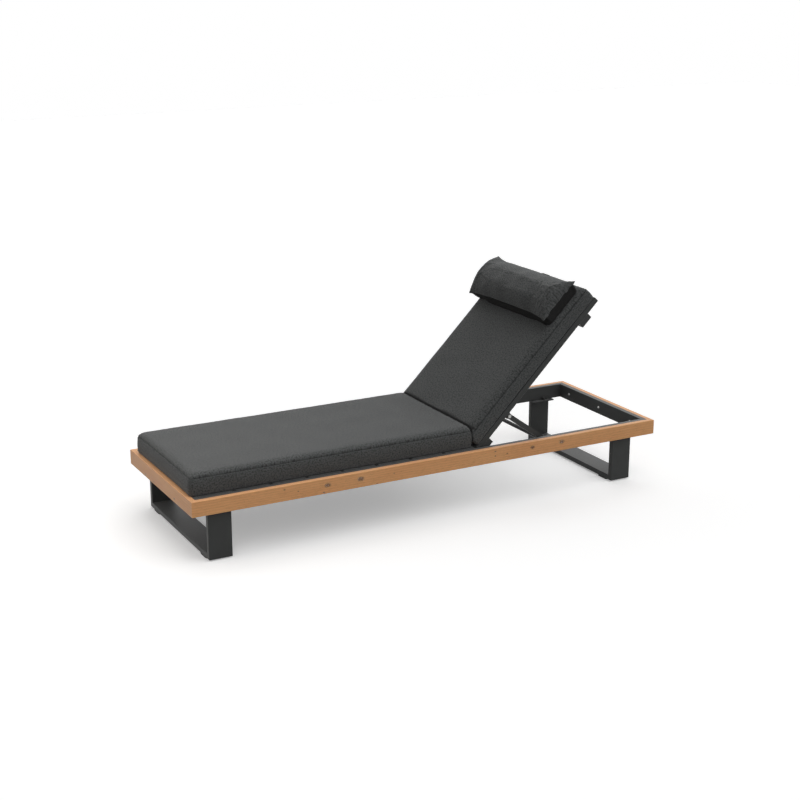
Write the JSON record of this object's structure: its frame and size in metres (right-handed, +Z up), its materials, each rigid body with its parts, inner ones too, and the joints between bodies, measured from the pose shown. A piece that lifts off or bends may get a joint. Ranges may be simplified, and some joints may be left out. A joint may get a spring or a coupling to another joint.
{
  "type": "relaxation lounger",
  "caption": "Flat relaxation lounger on low sled legs: wooden rails round a metal frame, slatted seat, propped adjustable backrest, thick cushions and a head pillow.",
  "frame": {"origin": "on the floor, under the middle of the frame's length and width", "axes": "+X from the foot end to the head end, +Y to the far side as the picture shows it, +Z up"},
  "size_m": [2, 0.656, 0.8567],
  "materials": {
    "hardwood": "oiled teak-coloured hardwood, fine grain and small knots",
    "coated_aluminium": "anthracite fine-textured powder coat",
    "seat_fabric": "woven mid-grey outdoor fabric, matte",
    "back_fabric": "woven dark grey outdoor fabric, matte",
    "pillow_fabric": "woven dark grey outdoor fabric, matte",
    "webbing": "black woven webbing",
    "rubber_foot": "black rubber",
    "black_nylon": "black nylon",
    "stainless": "stainless steel"
  },
  "bodies": {
    "base": {"deck_ledge_far": "coated_aluminium", "deck_ledge_near": "coated_aluminium", "deck_slat_1": "coated_aluminium", "deck_slat_2": "coated_aluminium", "deck_slat_3": "coated_aluminium", "deck_slat_4": "coated_aluminium", "deck_slat_5": "coated_aluminium", "deck_slat_6": "coated_aluminium", "deck_slat_7": "coated_aluminium", "deck_slat_8": "coated_aluminium", "foot_glides": "rubber_foot", "frame_rail_far": "coated_aluminium", "frame_rail_foot": "coated_aluminium", "frame_rail_head": "coated_aluminium", "frame_rail_near": "coated_aluminium", "frame_screws": "stainless", "hinge_bolts": "stainless", "leg_bar_foot": "coated_aluminium", "leg_bar_head": "coated_aluminium", "leg_bolts": "stainless", "leg_plate_foot_far": "coated_aluminium", "leg_plate_foot_near": "coated_aluminium", "leg_plate_head_far": "coated_aluminium", "leg_plate_head_near": "coated_aluminium", "leg_upright_foot_far": "coated_aluminium", "leg_upright_foot_near": "coated_aluminium", "leg_upright_head_far": "coated_aluminium", "leg_upright_head_near": "coated_aluminium", "rack_far": "coated_aluminium", "rack_near": "coated_aluminium", "rack_screws": "stainless", "rest_buffers": "rubber_foot", "seat_cushion": "seat_fabric", "slat_screws": "stainless", "wood_rail_far": "hardwood", "wood_rail_foot": "hardwood", "wood_rail_head": "hardwood", "wood_rail_near": "hardwood"},
    "backrest": {"back_cushion": "back_fabric", "back_slat_1": "coated_aluminium", "back_slat_2": "coated_aluminium", "back_slat_3": "coated_aluminium", "back_slat_4": "coated_aluminium", "back_slat_5": "coated_aluminium", "backrest_side_far": "coated_aluminium", "backrest_side_near": "coated_aluminium", "backrest_top": "coated_aluminium", "cross_bar_lower": "coated_aluminium", "cross_bar_upper": "coated_aluminium", "head_pillow": "pillow_fabric", "hinge_bushes": "black_nylon", "hinge_tube": "coated_aluminium", "pillow_strap": "webbing", "strut_bolts": "stainless", "strut_ears": "coated_aluminium"},
    "strut": {"prop_caps": "black_nylon", "prop_tube": "coated_aluminium", "strut_arm_far": "coated_aluminium", "strut_arm_near": "coated_aluminium"}
  },
  "joints": [
    {"name": "backrest_hinge", "type": "hinge", "parent": "base", "child": "backrest", "pos_m": [0.188, 0, 0.231], "axis": [0, -1, 0], "range_deg": [-45, 15]},
    {"name": "strut_hinge", "type": "hinge", "parent": "backrest", "child": "strut", "pos_m": [0.33296, 0, 0.34343], "axis": [0, -1, 0], "range_deg": [-25.8, 77.1]}
  ],
  "couplings": [
    {"joint": "strut_hinge", "follows": "backrest_hinge", "ratio": -1.71}
  ]
}
